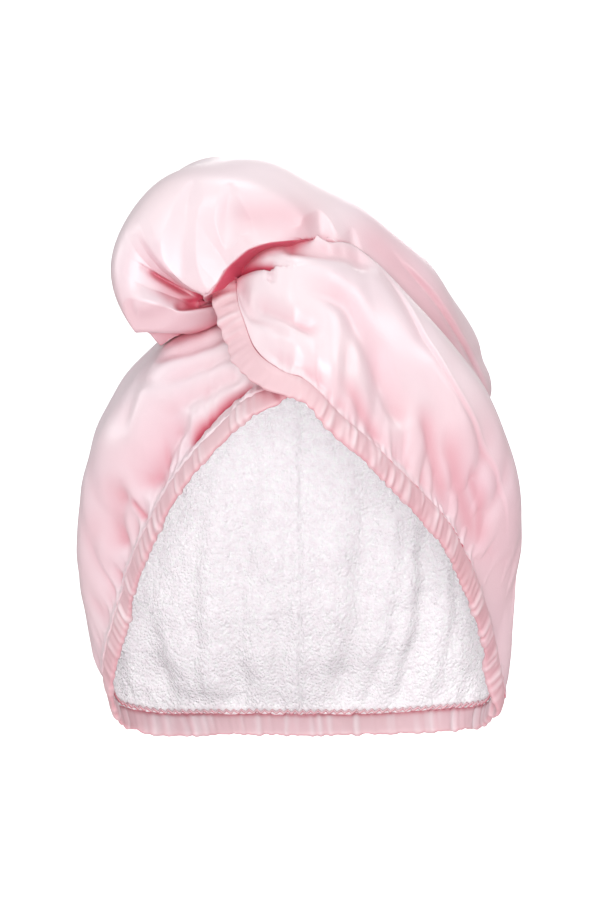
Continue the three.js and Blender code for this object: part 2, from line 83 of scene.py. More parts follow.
# Stitch line of the casing: reach is a share of half the cap's width, drop of the depth at the nape.
stitch_line = {
    "turn": (-180, -137, -118, -105, -81, -61, -43, -22, -10, -2, 12, 29, 46, 65, 82, 99, 108, 118, 158, 180),
    "reach": (0.711, 0.844, 0.945, 0.921, 0.785, 0.765, 0.795, 0.862, 0.933, 0.942,
              0.882, 0.785, 0.735, 0.73, 0.768, 0.858, 0.94, 0.96, 0.747, 0.711),
    "drop": (1.0, 0.994, 0.964, 0.884, 0.648, 0.519, 0.404, 0.279, 0.212, 0.199,
             0.292, 0.39, 0.465, 0.559, 0.662, 0.802, 0.927, 0.964, 0.997, 1.0),
}


def smooth(share):
    share = np.clip(share, 0, 1)
    return share * share * (3 - 2 * share)


def through(table, column, at, along="turn"):
    """A smooth curve through a column of a table, without overshoot between its rows."""
    x = np.array(table[along], float)
    y = np.array(table[column], float)
    at = np.clip(at, x[0], x[-1])
    i = np.clip(np.searchsorted(x, at, side="right") - 1, 0, len(x) - 2)
    slope = np.diff(y) / np.diff(x)
    before = np.concatenate([slope[:1], slope])
    after = np.concatenate([slope, slope[-1:]])
    total = np.where(before + after == 0, 1, before + after)
    tangent = np.where(before * after > 0, 2 * before * after / total, 0)
    step = x[i + 1] - x[i]
    s = (at - x[i]) / step
    bend = step * s * (1 - s) * ((1 - s) * tangent[i] - s * tangent[i + 1])
    return y[i] + (y[i + 1] - y[i]) * s * s * (3 - 2 * s) + bend


def point_at(turn, tip, radius):
    x = radius * np.sin(tip) * np.sin(turn)
    y = -radius * np.sin(tip) * np.cos(turn)
    return np.stack([x, y, radius * np.cos(tip) - crown_drop], axis=-1)


def direction_of(points):
    up = points[..., 2] + crown_drop
    radius = np.sqrt(points[..., 0] ** 2 + points[..., 1] ** 2 + up**2)
    turn = np.arctan2(points[..., 0], -points[..., 1])
    return turn, np.arccos(np.clip(up / radius, -1, 1)), radius


def stitch_at(turn):
    reach = through(stitch_line, "reach", np.degrees(turn)) * half_width
    rise = crown_drop - through(stitch_line, "drop", np.degrees(turn)) * nape_depth
    return np.arctan2(reach, rise), np.hypot(reach, rise)


def oval_radius(turn, tip):
    ahead = np.where(np.cos(turn) > 0, front_reach, back_reach)
    upright = np.where(np.cos(tip) > 0, crown_rise, nape_reach)
    beside = np.where(np.sin(turn) > 0, half_width - wrap_side, half_width)
    across = np.abs(np.sin(tip) * np.sin(turn)) / beside
    along = np.abs(np.sin(tip) * np.cos(turn)) / ahead
    up = np.abs(np.cos(tip)) / upright
    power = 2.15 + 0.35 * smooth(np.degrees(tip) / 40 - 1.75)
    return (across**power + along**power + up**power) ** (-1 / power)


def cap_radius(turn, tip):
    edge_tip, edge_radius = stitch_at(turn)
    drawn = smooth((tip - edge_tip + curl) / curl) ** 1.5
    lift = twist_rise * np.exp(-(((turn - twist_turn) / math.radians(30)) ** 2))
    lift = lift * np.exp(-(((tip - twist_tip) / math.radians(12)) ** 2))
    return oval_radius(turn, tip) + (edge_radius - oval_radius(turn, edge_tip)) * drawn + lift * (1 - drawn)


def on_front(points):
    """Where points appear on the upright plane through the crown, seen by the camera."""
    spread = camera_distance / (camera_distance + points[..., 1])
    return np.stack([points[..., 0] * spread,
                     (points[..., 2] - camera_height) * spread + camera_height], axis=-1)


def fold_shape(at, folds):
    """Height that a list of folds adds at points of a plane, and the painted shade each point gets in a fold.

    A fold is a stroke: path, then wide and deep of its valley in mm. over is how far the cloth on its left,
    going along the path, stands over the cloth on its right; fade gives the strength at its two ends; tint
    is how much painted shade its valley gets."""
    height = np.zeros(at.shape[:-1])
    fold_shade = np.zeros(at.shape[:-1])
    for fold in folds:
        path = np.array(fold["path"], float)
        knots = np.arange(len(path))
        fine = np.linspace(0, len(path) - 1, 8 * (len(path) - 1) + 1)
        table = {"along": knots, "x": path[:, 0], "z": path[:, 1]}
        line = np.stack([through(table, "x", fine, "along"), through(table, "z", fine, "along")], axis=-1)
        reach = 4 * fold["wide"] + 6 * fold.get("over", 0) + 12
        low, high = line.min(axis=0) - reach, line.max(axis=0) + reach
        near = np.nonzero(((at > low) & (at < high)).all(axis=-1))
        spot = at[near]
        if not len(spot):
            continue
        best = np.full(len(spot), 1e9)
        side = np.zeros(len(spot))
        share = np.zeros(len(spot))
        for k in range(len(line) - 1):
            run = line[k + 1] - line[k]
            off = spot - line[k]
            t = np.clip(off @ run / (run @ run), 0, 1)
            away = off - t[:, None] * run
            distance = np.hypot(away[:, 0], away[:, 1])
            closer = distance < best
            best = np.where(closer, distance, best)
            turned = np.sign(run[0] * off[:, 1] - run[1] * off[:, 0])
            side = np.where(closer, turned, side)
            share = np.where(closer, (k + t) / (len(line) - 1), share)
        first, last = fold.get("fade", (0, 0))
        strength = smooth(share / 0.25) * (1 - first) + first
        strength = strength * (smooth((1 - share) / 0.3) * (1 - last) + last)
        valley = np.exp(-((best / fold["wide"]) ** 2)) * strength
        change = -fold["deep"] * valley
        over = fold.get("over", 0)
        if over:
            signed = best * side
            ramp = smooth((signed + 0.8) / 1.6)
            upper = over * np.exp(-np.maximum(signed, 0) / (3 * over)) * ramp
            change = change * (1 - 0.7 * ramp) + upper * strength
            valley = valley * (1 - ramp)
        height[near] += change
        # Painted shade: the fold's valley is made pinker by its tint.
        tint = fold.get("tint", 0.25 if fold["deep"] > 0 else 0)
        fold_shade[near] = np.maximum(fold_shade[near], valley * tint)
    return height, fold_shade


def gathers(along, away, seed, spacing, longest, deepest, length):
    """Small folds that an elastic makes: at each place along the stitch line, running up from it."""
    draw = np.random.default_rng(seed)
    height = np.zeros(along.shape)
    place = 0.0
    while place < length:
        place += spacing * draw.uniform(0.6, 1.4)
        wide = spacing * draw.uniform(0.3, 0.45)
        reach = longest * draw.uniform(0.25, 1.0) ** 1.6 + 4
        deep = deepest * draw.uniform(0.45, 1.0)
        lean = draw.uniform(-0.22, 0.22)
        near = np.nonzero((np.abs(along - place) < 4 * wide + 0.25 * reach) & (away < 1.3 * reach))
        off = (along[near] - place - lean * away[near]) / (wide * (1 + away[near] / reach))
        height[near] -= deep * np.exp(-off * off) * smooth(1.25 - away[near] / reach)
    return height


def ripples(points, seed, size, height):
    """Soft uneven waves of cloth, as a sum of a few plane waves of about one size in mm."""
    draw = np.random.default_rng(seed)
    total = np.zeros(points.shape[:-1])
    for _ in range(7):
        wave = draw.normal(size=3)
        wave *= 2 * math.pi / (size * draw.uniform(0.7, 1.5)) / np.linalg.norm(wave)
        total += np.sin(points @ wave + draw.uniform(0, 6.28))
    return total * height / 2.6


def valley_shade(height, down, across):
    """How far the cloth at each point lies under the cloth round it, in mm, made into painted shade for its
    valleys.
    """
    even = height
    for _ in range(down):
        even = (np.concatenate([even[:1], even[:-1]]) + 2 * even + np.concatenate([even[1:], even[-1:]])) / 4
    for _ in range(across):
        even = (np.roll(even, 1, axis=1) + 2 * even + np.roll(even, -1, axis=1)) / 4
    return np.clip((even - height) / 3, 0, 1)


def cloth(name, grid, shade_and_tone, closed=False, ends=(False, False)):
    """A mesh through a grid of points; closed joins the last column to the first, ends fill the end rings."""
    rows, columns = grid.shape[:2]
    points = grid.reshape(-1, 3) / 1000
    i, j = np.meshgrid(np.arange(rows - 1), np.arange(columns if closed else columns - 1), indexing="ij")
    after = (j + 1) % columns
    this_row, next_row = i * columns, (i + 1) * columns
    faces = np.stack([this_row + j, this_row + after, next_row + after, next_row + j], axis=-1)
    faces = faces.reshape(-1, 4).tolist()
    tint = np.clip(shade_and_tone.reshape(-1), 0, 1)
    for end, row in zip(ends, (0, rows - 1)):
        if end:
            ring = np.arange(columns) + row * columns
            points = np.vstack([points, points[ring].mean(axis=0)])
            tint = np.append(tint, tint[ring].mean())
            hub = len(points) - 1
            order = ring if row else ring[::-1]
            faces += [(int(a), int(b), hub) for a, b in zip(order, np.roll(order, -1))]
    mesh = bpy.data.meshes.new(name)
    mesh.from_pydata(points.tolist(), [], faces)
    mesh.polygons.foreach_set("use_smooth", np.ones(len(mesh.polygons), bool))
    # The attribute carries painted shade for the satin's colour, and the seam thread's own pinker tone.
    colour = mesh.attributes.new("shade_and_tone", "FLOAT", "POINT")
    colour.data.foreach_set("value", tint.astype(np.float32))
    mesh.update()
    piece = bpy.data.objects.new(name, mesh)
    bpy.context.collection.objects.link(piece)
    return piece


def wall(piece, thickness):
    """Gives a sheet its thickness, inwards from its outer face."""
    shell = piece.modifiers.new("wall", "SOLIDIFY")
    shell.thickness = thickness / 1000
    shell.offset = -1
    shell.use_even_offset = False


def linear(red, green, blue):
    """An sRGB colour, 0 to 255, as Blender's scene colour."""
    shares = [((c / 255 + 0.055) / 1.055) ** 2.4 if c > 10 else c / 3295 for c in (red, green, blue)]
    return (*shares, 1)


def satin_material(name, lit, half_shade, deep, roughness):
    """Satin with painted shade: pale in its lit colour, a stronger pink painted where shade falls in folds,
    hollows and on faces turned from the light, a fine weave and a soft wide gloss.
    """
    material = bpy.data.materials.new(name)
    material.use_nodes = True
    nodes, links = material.node_tree.nodes, material.node_tree.links
    shader = nodes["Principled BSDF"]
    shader.inputs["Roughness"].default_value = roughness
    shader.inputs["Specular IOR Level"].default_value = 0.45
    shader.inputs["Sheen Weight"].default_value = 0.12
    shader.inputs["Sheen Roughness"].default_value = 0.35
    # Painted shade kept on the mesh: a per-point amount for fold valleys, hollows and the pit, and the seam
    # thread's own even tone.
    shade_and_tone = nodes.new("ShaderNodeAttribute")
    shade_and_tone.attribute_name = "shade_and_tone"
    # Painted shade in hollows: where ambient occlusion finds cloth close by, the colour is made pinker.
    shade = nodes.new("ShaderNodeAmbientOcclusion")
    shade.inputs["Distance"].default_value = 0.018
    shade.samples = 8
    occlusion_shade = nodes.new("ShaderNodeMapRange")
    occlusion_shade.inputs["From Min"].default_value = 0.85
    occlusion_shade.inputs["From Max"].default_value = 0.15
    occlusion_shade.inputs["To Max"].default_value = 0.85
    links.new(shade.outputs["AO"], occlusion_shade.inputs["Value"])
    # Painted light and shade by facing: faces turned up and forward towards the lights stay pale, faces
    # turned away are made pinker.
    form = nodes.new("ShaderNodeNewGeometry")
    facing = nodes.new("ShaderNodeVectorMath")
    facing.operation = "DOT_PRODUCT"
    facing.inputs[1].default_value = (-0.15, -0.4, 0.9)
    links.new(form.outputs["Normal"], facing.inputs[0])
    turned = nodes.new("ShaderNodeMapRange")
    turned.interpolation_type = "SMOOTHSTEP"
    turned.inputs["From Min"].default_value = 0.85
    turned.inputs["From Max"].default_value = -0.5
    turned.inputs["To Max"].default_value = 0.34
    links.new(facing.outputs["Value"], turned.inputs["Value"])
    inner = nodes.new("ShaderNodeMath")
    inner.operation = "ADD"
    links.new(shade_and_tone.outputs["Fac"], inner.inputs[0])
    links.new(occlusion_shade.outputs["Result"], inner.inputs[1])
    shade_amount = nodes.new("ShaderNodeMath")
    shade_amount.operation = "ADD"
    shade_amount.use_clamp = True
    links.new(inner.outputs[0], shade_amount.inputs[0])
    links.new(turned.outputs["Result"], shade_amount.inputs[1])
    # The colour ramp paints the shade: the lit colour where there is none, then the middle pink and the deep
    # pink as the painted shade grows.
    tone = nodes.new("ShaderNodeValToRGB")
    tone.color_ramp.elements[0].color = linear(*lit)
    tone.color_ramp.elements[1].color = linear(*deep)
    middle = tone.color_ramp.elements.new(0.35)
    middle.color = linear(*half_shade)
    links.new(shade_amount.outputs[0], tone.inputs["Fac"])
    place = nodes.new("ShaderNodeTexCoord")
    cloud = nodes.new("ShaderNodeTexNoise")
    cloud.inputs["Scale"].default_value = 14
    links.new(place.outputs["Object"], cloud.inputs["Vector"])
    vary = nodes.new("ShaderNodeMix")
    vary.data_type = "RGBA"
    vary.blend_type = "MULTIPLY"
    vary.inputs["Factor"].default_value = 0.05
    links.new(tone.outputs["Color"], vary.inputs["A"])
    links.new(cloud.outputs["Color"], vary.inputs["B"])
    links.new(vary.outputs["Result"], shader.inputs["Base Color"])
    weave = nodes.new("ShaderNodeTexNoise")
    weave.inputs["Scale"].default_value = 900
    weave.inputs["Detail"].default_value = 3
    links.new(place.outputs["Object"], weave.inputs["Vector"])
    grain = nodes.new("ShaderNodeBump")
    grain.inputs["Strength"].default_value = 0.12
    grain.inputs["Distance"].default_value = 0.0004
    links.new(weave.outputs["Fac"], grain.inputs["Height"])
    wrinkle = nodes.new("ShaderNodeTexNoise")
    wrinkle.inputs["Scale"].default_value = 60
    wrinkle.inputs["Detail"].default_value = 2
    links.new(place.outputs["Object"], wrinkle.inputs["Vector"])
    soft = nodes.new("ShaderNodeBump")
    soft.inputs["Strength"].default_value = 0.15
    soft.inputs["Distance"].default_value = 0.0015
    links.new(wrinkle.outputs["Fac"], soft.inputs["Height"])
    links.new(grain.outputs["Normal"], soft.inputs["Normal"])
    links.new(soft.outputs["Normal"], shader.inputs["Normal"])
    return material


# Folds of the left panel and of the cap's back, drawn on the plane seen from the front.
panel_folds = [
    {"path": [(-26, -42), (-34, -47), (-44, -57), (-53, -69), (-57, -76)], "wide": 2.6, "deep": 5.5,
     "tint": 0.7, "over": 0.8, "fade": (1, 0)},
    {"path": [(-57, -77), (-52, -76), (-48, -72)], "wide": 2, "deep": 2, "tint": 0.4},
    {"path": [(-58, -53), (-69, -76), (-82, -99)], "wide": 7, "deep": 6, "tint": 0.16},
    {"path": [(-93, -86), (-94, -110), (-92, -132)], "wide": 5, "deep": 4.5, "tint": 0.16},
    {"path": [(-88, -98), (-83, -104), (-77, -112)], "wide": 1.8, "deep": 2.2, "tint": 0.4},
    {"path": [(-76, -30), (-60, -26), (-38, -17)], "wide": 3, "deep": 1.8, "tint": 0.1, "fade": (0, 1)},
    {"path": [(-70, -44), (-52, -34), (-35, -27)], "wide": 2.6, "deep": 1.8, "tint": 0.1, "fade": (0, 1)},
    {"path": [(-72, -60), (-54, -48), (-34, -37)], "wide": 3.5, "deep": 1.8, "tint": 0.1, "fade": (0, 1)},
    {"path": [(-72, -40), (-80, -60), (-90, -84)], "wide": 7, "deep": -2.8},
    {"path": [(-46, -52), (-62, -72), (-72, -96)], "wide": 4, "deep": -2.5},
    {"path": [(-104, -100), (-106, -140), (-101, -170)], "wide": 5, "deep": 2.4, "tint": 0.1},
    {"path": [(-96, -140), (-96, -165), (-93, -185)], "wide": 3, "deep": 2, "tint": 0.1},
    {"path": [(-80, -120), (-84, -140), (-88, -160)], "wide": 3.5, "deep": 2.2, "tint": 0.1},
]

cap_columns, cap_rows = 720, 100
turn = np.linspace(-np.pi, np.pi, cap_columns, endpoint=False)[None, :]
edge_tip, edge_radius = stitch_at(turn)
share = np.linspace(0.004, 1, cap_rows)[:, None]
tip = share * edge_tip
bare = point_at(turn, tip, cap_radius(turn, tip))
rim = point_at(turn, edge_tip, edge_radius)[0]
rim_step = np.linalg.norm(np.diff(rim, axis=0, append=rim[:1]), axis=1)
rim_place = np.concatenate([[0], np.cumsum(rim_step)[:-1]])
rim_length = rim_step.sum()
along = np.broadcast_to(rim_place[None, :], bare.shape[:2])
away = (edge_tip - tip) * edge_radius
front = smooth((10 - bare[..., 1]) / 30)
height, fold_shade = fold_shape(on_front(bare), panel_folds)
crown = smooth(share * 6 - 0.2)
height = height * front + crown * ripples(bare, 3, 55, 0.9) + crown * ripples(bare, 4, 24, 0.25)
height = height * (1 - smooth((share - 0.93) / 0.07))
cap_gathers = {"seed": 11, "spacing": 4.6, "longest": 26, "deepest": 1.3, "length": rim_length}
height += gathers(along, away, **cap_gathers)
height += gathers(along, away, 13, 13, 58, 2.2, rim_length) * smooth(away / 6)
back_seam = np.abs((np.degrees(turn) + 360) % 360 - 180)
seam_dip = 0.9 * np.exp(-((back_seam / 0.45) ** 2))
seam_dip = seam_dip * smooth((share - 0.2) * 6) * (1 - smooth((share - 0.9) / 0.1))
height = height - seam_dip
cap_relief = height
grid = point_at(turn, tip, cap_radius(turn, tip) + height)
turned_in_depth = 4
turned_in = np.linspace(0, 1, 6)[1:, None]
inner_tip = edge_tip + turned_in_depth / edge_radius * turned_in
inner = point_at(turn, inner_tip, edge_radius - 1.4 * smooth(turned_in * 1.5) - 0.2)
grid = np.concatenate([grid, inner])
# Painted shade on the cap: fold valleys and sunken places are made pinker; the turned-in edge gets none.
tint = np.concatenate([np.maximum(fold_shade * front, 0.36 * valley_shade(height, 25, 60)), np.zeros(inner.shape[:2])])
cap_cloth = cloth("satin_cap_cloth", grid, tint, closed=True)
# Lit colour, then the half-shaded and deep pinks that the material paints as shade.
blush_satin = satin_material("blush_satin", (229, 212, 217), (220, 181, 189), (200, 76, 98), 0.36)
cap_cloth.data.materials.append(blush_satin)
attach(cap_cloth, "root")
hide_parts("satin_cap")

# Terry lining. White looped towelling, cut like the cap and sewn in with the casing, with one seam up the
# middle of the back. It lies against the satin and hangs in loose folds at the nape.
lining_inset = 2.2
lining_folds = {
    "turn": (-158, -172, 166, 146, -132, 124, -146, 155, -118, 136),
    "wide": (4.5, 3, 5, 4, 5, 4, 2.5, 2.5, 3, 2.5),
    "deep": (6, 3, 6.5, 6, 4.5, 4, 2.5, 2.5, 3, 2.5),
}


def terry_material(name):
    material = bpy.data.materials.new(name)
    material.use_nodes = True
    nodes, links = material.node_tree.nodes, material.node_tree.links
    shader = nodes["Principled BSDF"]
    shader.inputs["Roughness"].default_value = 0.95
    shader.inputs["Specular IOR Level"].default_value = 0.15
    shader.inputs["Sheen Weight"].default_value = 0.5
    shader.inputs["Sheen Roughness"].default_value = 0.6
    # A faint white glow, painted light: it brightens the lining in the shade inside the cap.
    shader.inputs["Emission Color"].default_value = (1.0, 0.96, 0.99, 1)
    shader.inputs["Emission Strength"].default_value = 0.03
    place = nodes.new("ShaderNodeTexCoord")
    loops = nodes.new("ShaderNodeTexVoronoi")
    loops.inputs["Scale"].default_value = 620
    links.new(place.outputs["Object"], loops.inputs["Vector"])
    nap = nodes.new("ShaderNodeTexNoise")
    nap.inputs["Scale"].default_value = 260
    nap.inputs["Detail"].default_value = 6
    nap.inputs["Roughness"].default_value = 0.7
    links.new(place.outputs["Object"], nap.inputs["Vector"])
    pile = nodes.new("ShaderNodeMath")
    pile.operation = "MULTIPLY_ADD"
    pile.inputs[1].default_value = 1.6
    links.new(nap.outputs["Fac"], pile.inputs[0])
    links.new(loops.outputs["Distance"], pile.inputs[2])
    relief = nodes.new("ShaderNodeBump")
    relief.inputs["Strength"].default_value = 0.8
    relief.inputs["Distance"].default_value = 0.0014
    links.new(pile.outputs[0], relief.inputs["Height"])
    links.new(relief.outputs["Normal"], shader.inputs["Normal"])
    tone = nodes.new("ShaderNodeValToRGB")
    tone.color_ramp.elements[0].position = 0.3
    tone.color_ramp.elements[0].color = linear(247, 238, 244)
    tone.color_ramp.elements[1].position = 0.62
    tone.color_ramp.elements[1].color = linear(254, 252, 254)
    links.new(nap.outputs["Fac"], tone.inputs["Fac"])
    links.new(tone.outputs["Color"], shader.inputs["Base Color"])
    return material


lining_relief = smooth((share - 0.4) / 0.3) * smooth((1.04 - share) / 0.12)
slack = np.zeros(cap_relief.shape)
for at, wide, deep in zip(*(lining_folds[k] for k in ("turn", "wide", "deep"))):
    off = (np.degrees(turn) - at + 180 + 14 * (1 - share)) % 360 - 180
    slack += deep * lining_relief * np.exp(-((off / wide) ** 2))
hangs = smooth(share * 5) * smooth((1 - share) / 0.06)
slack += np.maximum(ripples(bare, 5, 34, 1.3) + ripples(bare, 7, 13, 0.35), -1.0) * hangs
off = (np.degrees(turn) + 360 + 0.4 * np.sin(share * 40)) % 360 - 180
seam = np.exp(-((off / 0.5) ** 2)) - 0.7 * np.exp(-(((np.abs(off) - 1.3) / 0.5) ** 2))
slack += 1.1 * seam * smooth((share - 0.3) / 0.2)
slack = np.maximum(slack, -1.2)
pile_height = np.random.default_rng(6).normal(0, 0.16, slack.shape)
radius = cap_radius(turn, tip) + cap_relief - lining_inset - slack
grid = point_at(turn, tip, radius + pile_height)
sewn_in_depth = 3.5
sewn_in = np.linspace(0, 1, 4)[1:, None]
hidden_tip = edge_tip + sewn_in_depth / edge_radius * sewn_in
hidden_edge = point_at(turn, hidden_tip, edge_radius - lining_inset + 0.5 * sewn_in)
grid = np.concatenate([grid, hidden_edge])
lining_cloth = cloth("terry_lining_cloth", grid[:, ::-1], np.zeros(grid.shape[:2]), closed=True)
lining_cloth.data.materials.append(terry_material("white_terry"))
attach(lining_cloth, "root")
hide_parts("terry_lining")

# Crossing panel. The right-hand panel of satin comes from behind the ear, crosses over the forehead and goes
# into the twist. Its lower edge is sewn to the casing; its upper edge is folded and lies over the tail.
wrap_wall = 1.5
wrap_edges = {
    "along": tuple(range(17)),
    "low_turn": (-19.8, -17.7, -14.6, -11.5, -6.5, -1.6, 6, 14, 22, 32, 43, 54, 66, 78, 90, 100, 109),
    "low_share": (0.62, 0.71, 0.8, 0.89, 0.975, 1.02, 1.02, 1.01, 1.0, 1.0,
                  1.0, 1.0, 1.0, 1.0, 1.0, 1.0, 1.0),
    "high_turn": (-21.5, -18, -13.5, -9, -4, 1, 8, 16, 24, 33, 43, 54, 66, 78, 90, 100, 109),
    "high_share": (0.56, 0.51, 0.495, 0.49, 0.47, 0.475, 0.51, 0.45, 0.41, 0.412,
                   0.44, 0.5, 0.57, 0.64, 0.72, 0.82, 0.96),
    "low_lift": (25, 22, 16, 11.5, 9, 8, 6.5, 5, 4.2, 3.8, 3.6, 3.6, 3.6, 3.6, 3.6, 3.6, 3.6),
    "mid_lift": (26.5, 27.5, 28.5, 29, 29.5, 30, 29, 26, 21.5, 16.5, 12, 9.5, 6.5, 4.6, 3.6, 3.6, 3.6),
    "high_lift": (24.5, 31, 36, 40.5, 43.5, 44, 41.5, 39, 34.5, 28, 20.5, 12.5, 8, 5, 4, 3.6, 3.6),
}
panel_last = wrap_edges["along"][-1]
panel_end = wrap_edges["low_turn"][-1]


def wrap_column(along):
    value = {k: through(wrap_edges, k, along, "along") for k in wrap_edges if k != "along"}
    low_turn, high_turn = np.radians(value["low_turn"]), np.radians(value["high_turn"])
    low_tip = value["low_share"] * stitch_at(low_turn)[0]
    high_tip = value["high_share"] * stitch_at(high_turn)[0]
    return low_turn, low_tip, high_turn, high_tip, value


def wrap_height(value, share):
    low, middle, high = value["low_lift"], value["mid_lift"], value["high_lift"]
    return low + (high - low) * share + 2 * (low + high - 2 * middle) * share * (share - 1)


wrap_folds = [
    {"path": [(-5, 10), (21, 0), (35, -23), (48, -53), (53, -65)], "wide": 5.5, "deep": 5, "tint": 0.12},
    {"path": [(-26, 0), (-8, -7), (13, -15)], "wide": 4.5, "deep": 4, "tint": 0.12},
    {"path": [(-4, 26), (20, 25), (40, 14)], "wide": 5, "deep": 4, "tint": 0.2, "fade": (1, 0)},
    {"path": [(-15, 14), (-22, 13.6), (-29, 12), (-34, 9)], "wide": 2.2, "deep": 6.5,
     "over": 2.6, "tint": 1.3, "fade": (1, 1)},
    {"path": [(-15, 14.5), (-14.4, 11), (-16, 7)], "wide": 2.2, "deep": 1.6, "tint": 0.1},
    {"path": [(-30, 5), (-26, -5), (-14, -12), (4, -22)], "wide": 3.5, "deep": 2.2, "tint": 0.1,
     "fade": (1, 0)},
    {"path": [(-30, 14), (-10, 20), (22, 4), (42, -28)], "wide": 8, "deep": -2.5},
    {"path": [(-24, -6), (0, -22), (24, -42), (44, -66)], "wide": 8, "deep": -2.5},
    {"path": [(23, 31), (47, 9), (64, -20), (77, -44), (90, -66), (102, -95), (105, -130)], "wide": 4,
     "deep": 1.3, "over": 0.9, "tint": 0.12},
    {"path": [(60, -50), (69, -80), (76, -110)], "wide": 4, "deep": 3},
    {"path": [(72, -60), (83, -96), (90, -128)], "wide": 4.5, "deep": 3},
    {"path": [(86, -78), (92, -104), (90, -128)], "wide": 3, "deep": 2.4},
    {"path": [(60, -16), (76, -48), (88, -80)], "wide": 6, "deep": -2.4},
    {"path": [(20, -36), (34, -60), (44, -78)], "wide": 3, "deep": 2},
]

wrap_columns, wrap_rows = 420, 120
place = np.linspace(0, panel_last, wrap_columns)[None, :]
share = np.linspace(0, 1, wrap_rows)[:, None]
low_turn, low_tip, high_turn, high_tip, value = wrap_column(place)
turn = low_turn + (high_turn - low_turn) * share
tip = low_tip + (high_tip - low_tip) * share
lift = wrap_height(value, share)
radius = cap_radius(turn, tip) + lift
bare = point_at(turn, tip, radius)
edge = bare[0]
edge_step = np.linalg.norm(np.diff(edge, axis=0), axis=1)
wrap_along = np.concatenate([[0], np.cumsum(edge_step)])
along = np.broadcast_to(wrap_along[None, :], radius.shape)
away = np.linalg.norm(bare - edge[None], axis=-1)
height, fold_shade = fold_shape(on_front(bare), wrap_folds)
height = height * smooth(share * 8) * smooth((1.02 - share) * 10)
past_pit = smooth((place - 3) / 2.5)
edge_length = edge_step.sum()
panel_gathers = {"seed": 21, "spacing": 4.6, "longest": 24, "deepest": 1.4, "length": edge_length}
height += gathers(along, away, **panel_gathers) * past_pit
height += gathers(along, away, 23, 11, 62, 2.6, edge_length) * smooth(away / 6) * past_pit
height += ripples(bare, 22, 45, 0.7)
radius = np.maximum(radius + height, cap_radius(turn, tip) + 2.4)
past_edges = smooth(place * 2) * smooth((panel_last - place) * 2)
# Painted shade on the crossing panel, in its fold valleys and sunken places.
tint = np.maximum(fold_shade, 0.4 * valley_shade(radius - cap_radius(turn, tip) - lift, 60, 60) * past_edges)
wrap_cloth = cloth("wrap_panel_cloth", point_at(turn, tip, radius), tint)
wall(wrap_cloth, wrap_wall)
wrap_cloth.data.materials.append(blush_satin)
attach(wrap_cloth, "root")
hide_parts("wrap_panel")

# Twisted tail. The hair pocket of the towel: a long hollow bag of satin, twisted at the forehead and laid
# back over the crown to the nape. Its front rolls over into the twist and makes the pit there, dark by its
# own shadow and by painted shade.
tail_width = 200
tail_height = 128
tail_gap = 1.2
tail_sections = {
    "along": tuple(range(11)),
    "arc": (-35, -34, -31, -24.5, -14, 0, 22, 46, 74, 98, 112),
    "stand": (1.195, 1.2, 1.19, 1.145, 1.05, 0.975, 0.93, 0.87, 0.83, 0.84, 0.865),
    "aside": (-0.38, -0.37, -0.33, -0.27, -0.11, 0.03, 0.09, 0.1, 0.05, 0.01, 0.0),
    "facing": (-8, -6, -4, 0, 0, 4, 22, 48, 76, 98, 112),
    "width": (0.22, 0.33, 0.47, 0.59, 0.76, 0.92, 0.98, 0.87, 0.56, 0.3, 0.15),
    "height": (0.19, 0.38, 0.66, 0.84, 0.87, 0.84, 0.81, 0.64, 0.42, 0.24, 0.11),
    "lean": (30, 10, -5, -18, -28, -33, -31, -18, -5, 0, 0),
}
# Where the tail ends: low on the cap's cloth, and at the free lip of its upper cloth, which stands that high.
# Its degrees were worked out beforehand, by a calculation from places in the front view.
tail_edge = {
    "turn": (-180, -110, -80, -66, -57, -47.6, -42.6, -37, -30.5,
             -25, -22.8, -20.2, -14.4, -8.2, -2, 7, 18.4, 30),
    "low": (170, 100, 46, 39, 37.5, 35.6, 34.6, 33, 31, 30.2, 30.4, 31, 32, 31.5, 30, 25.7, 23, 23),
    "lip": (170, 100, 60, 50, 46, 42, 40.5, 38.8, 38, 37.6, 36.4, 34.4, 33.1, 32.3, 30.4, 25.7, 23, 23),
    "lift": (90, 90, 90, 80, 70, 60, 54, 42, 31, 31, 33, 36, 41, 43, 42, 40, 35, 34),
}
# The mouth of the twist, as pixels of a front view of 2 to the mm and heights over the cap's cloth.
tail_mouth = {
    "around": (-360, -335, -305, -285, -265, -245, -228, -215, -208,
               -203, -195, -175, -150, -120, -90, -60, -30, 0),
    "across": (345, 320, 293, 270, 247, 227, 216, 208, 204, 204, 207, 212, 222, 240, 265, 300, 330, 345),
    "down": (240, 239, 240, 242, 250, 267, 283, 296.5, 297, 300, 304, 308, 312, 308, 300, 285, 262, 240),
    "lift": (35, 40, 42, 43, 41, 36, 33, 31, 29, 20, 14, 11, 12, 12, 12, 15, 25, 35),
}
tail_folds = [
    {"path": [(-77, 16.5), (-68, 11), (-58, 5.5), (-50, 2.6)], "wide": 2.4, "deep": 3.5,
     "over": 1.6, "tint": 0.15, "fade": (0.2, 0.8)},
    {"path": [(-64, -3.5), (-57, -2.5), (-49, -1), (-44, 0)], "wide": 2.4, "deep": 2.2, "tint": 0.25,
     "fade": (0, 1)},
    {"path": [(-84, -4), (-76, -2), (-64, 2)], "wide": 5, "deep": -1.6},
    {"path": [(46, 28), (70, 0), (88, -28), (96, -54)], "wide": 3, "deep": 1.6, "over": 1.2},
    {"path": [(20, 44), (50, 18), (72, -14), (88, -48)], "wide": 10, "deep": 3},
    {"path": [(-60, 50), (-30, 52), (0, 44), (30, 26)], "wide": 12, "deep": -2},
    {"path": [(-40, 40), (-10, 42), (16, 34)], "wide": 9, "deep": 1.6},
]
